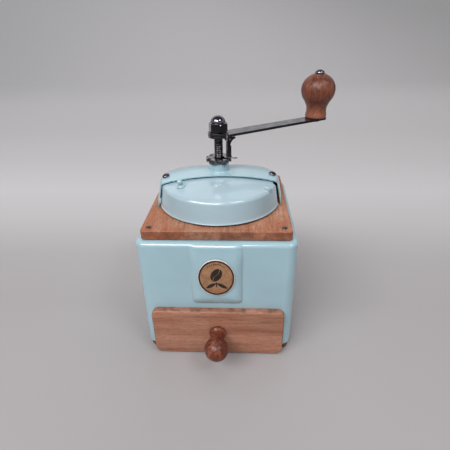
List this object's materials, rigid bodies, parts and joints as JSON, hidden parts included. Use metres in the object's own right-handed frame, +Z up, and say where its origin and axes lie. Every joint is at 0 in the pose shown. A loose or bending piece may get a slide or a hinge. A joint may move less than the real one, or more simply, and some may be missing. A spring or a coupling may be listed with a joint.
{
  "type": "hand crank coffee grinder",
  "caption": "Square metal box coffee mill with a wooden top board, domed hopper cover with a swing-out front lid, a hand crank with a wooden knob, conical burrs and a wooden drawer.",
  "frame": {"origin": "on the surface that the mill stands on, under the axis of the crank shaft", "axes": "+Z up along the crank shaft, -Y to the front where the drawer opens, +X to the right as seen from the front"},
  "size_m": [0.1599, 0.162, 0.2076],
  "materials": {
    "paint": "gloss",
    "beech": "satin",
    "dark_wood": "matt",
    "knob_wood": "varnished",
    "steel": "satin",
    "dark_steel": "polished",
    "cast_iron": "as cast",
    "badge": "printed",
    "tinplate": "bright"
  },
  "bodies": {
    "housing": {"body_shell": "paint", "top_board": "beech", "base_board": "dark_wood", "board_screw_front_left": "dark_steel", "board_screw_front_right": "dark_steel", "board_screw_rear_left": "dark_steel", "board_screw_rear_right": "dark_steel", "base_screw_front_left": "steel", "base_screw_front_right": "steel", "base_screw_rear_left": "steel", "base_screw_rear_right": "steel", "badge": "badge", "hopper_bowl": "tinplate", "bearing_tube": "steel", "hopper_bridge": "steel", "rear_cover": "paint", "cover_post_left": "steel", "cover_post_right": "steel", "cover_screw_left": "steel", "cover_screw_right": "steel", "cover_foot_screw_left": "steel", "cover_foot_screw_right": "steel", "lid_rivet": "paint", "lid_post": "steel", "outer_burr": "cast_iron", "lower_bearing": "steel", "burr_screw_1": "steel", "burr_screw_2": "steel", "burr_screw_3": "steel", "spring_washer": "steel", "thrust_washer": "steel", "drawer_runner_left": "dark_wood", "drawer_runner_right": "dark_wood"},
    "lid": {"front_lid": "paint", "lid_knob": "paint"},
    "crank": {"shaft": "steel", "burr_nut": "steel", "inner_burr": "cast_iron", "burr_spring": "steel", "adjuster_disc": "steel", "crank_arm": "steel", "crank_washer": "dark_steel", "acorn_nut": "dark_steel", "knob_pin": "steel", "latch_bracket": "dark_steel", "latch_pin": "steel"},
    "latch": {"latch": "dark_steel", "latch_spring": "dark_steel"},
    "knob": {"crank_knob": "knob_wood"},
    "drawer": {"drawer_front": "beech", "drawer_side_left": "beech", "drawer_side_right": "beech", "drawer_back": "beech", "drawer_bottom": "beech", "drawer_knob": "knob_wood", "drawer_knob_screw": "steel"}
  },
  "joints": [
    {"name": "lid_swing", "type": "hinge", "parent": "housing", "child": "lid", "pos_m": [0.03793, -0.02282, 0.13], "axis": [0, 0, 1], "range_deg": [0, 90]},
    {"name": "crank_turn", "type": "hinge", "parent": "housing", "child": "crank", "pos_m": [0, 0, 0.13], "axis": [0, 0, 1], "continuous": true},
    {"name": "latch_swing", "type": "hinge", "parent": "crank", "child": "latch", "pos_m": [0.00746, 0.00485, 0.163], "axis": [0.5446, -0.8387, 0], "range_deg": [0, 14], "stiffness_Nm_per_rad": 0.02, "springref_deg": -5.73},
    {"name": "knob_spin", "type": "hinge", "parent": "crank", "child": "knob", "pos_m": [0.08387, 0.05446, 0.18], "axis": [0, 0, 1], "continuous": true},
    {"name": "drawer_slide", "type": "slide", "parent": "housing", "child": "drawer", "axis": [0, -1, 0], "range_m": [0, 0.085]}
  ]
}
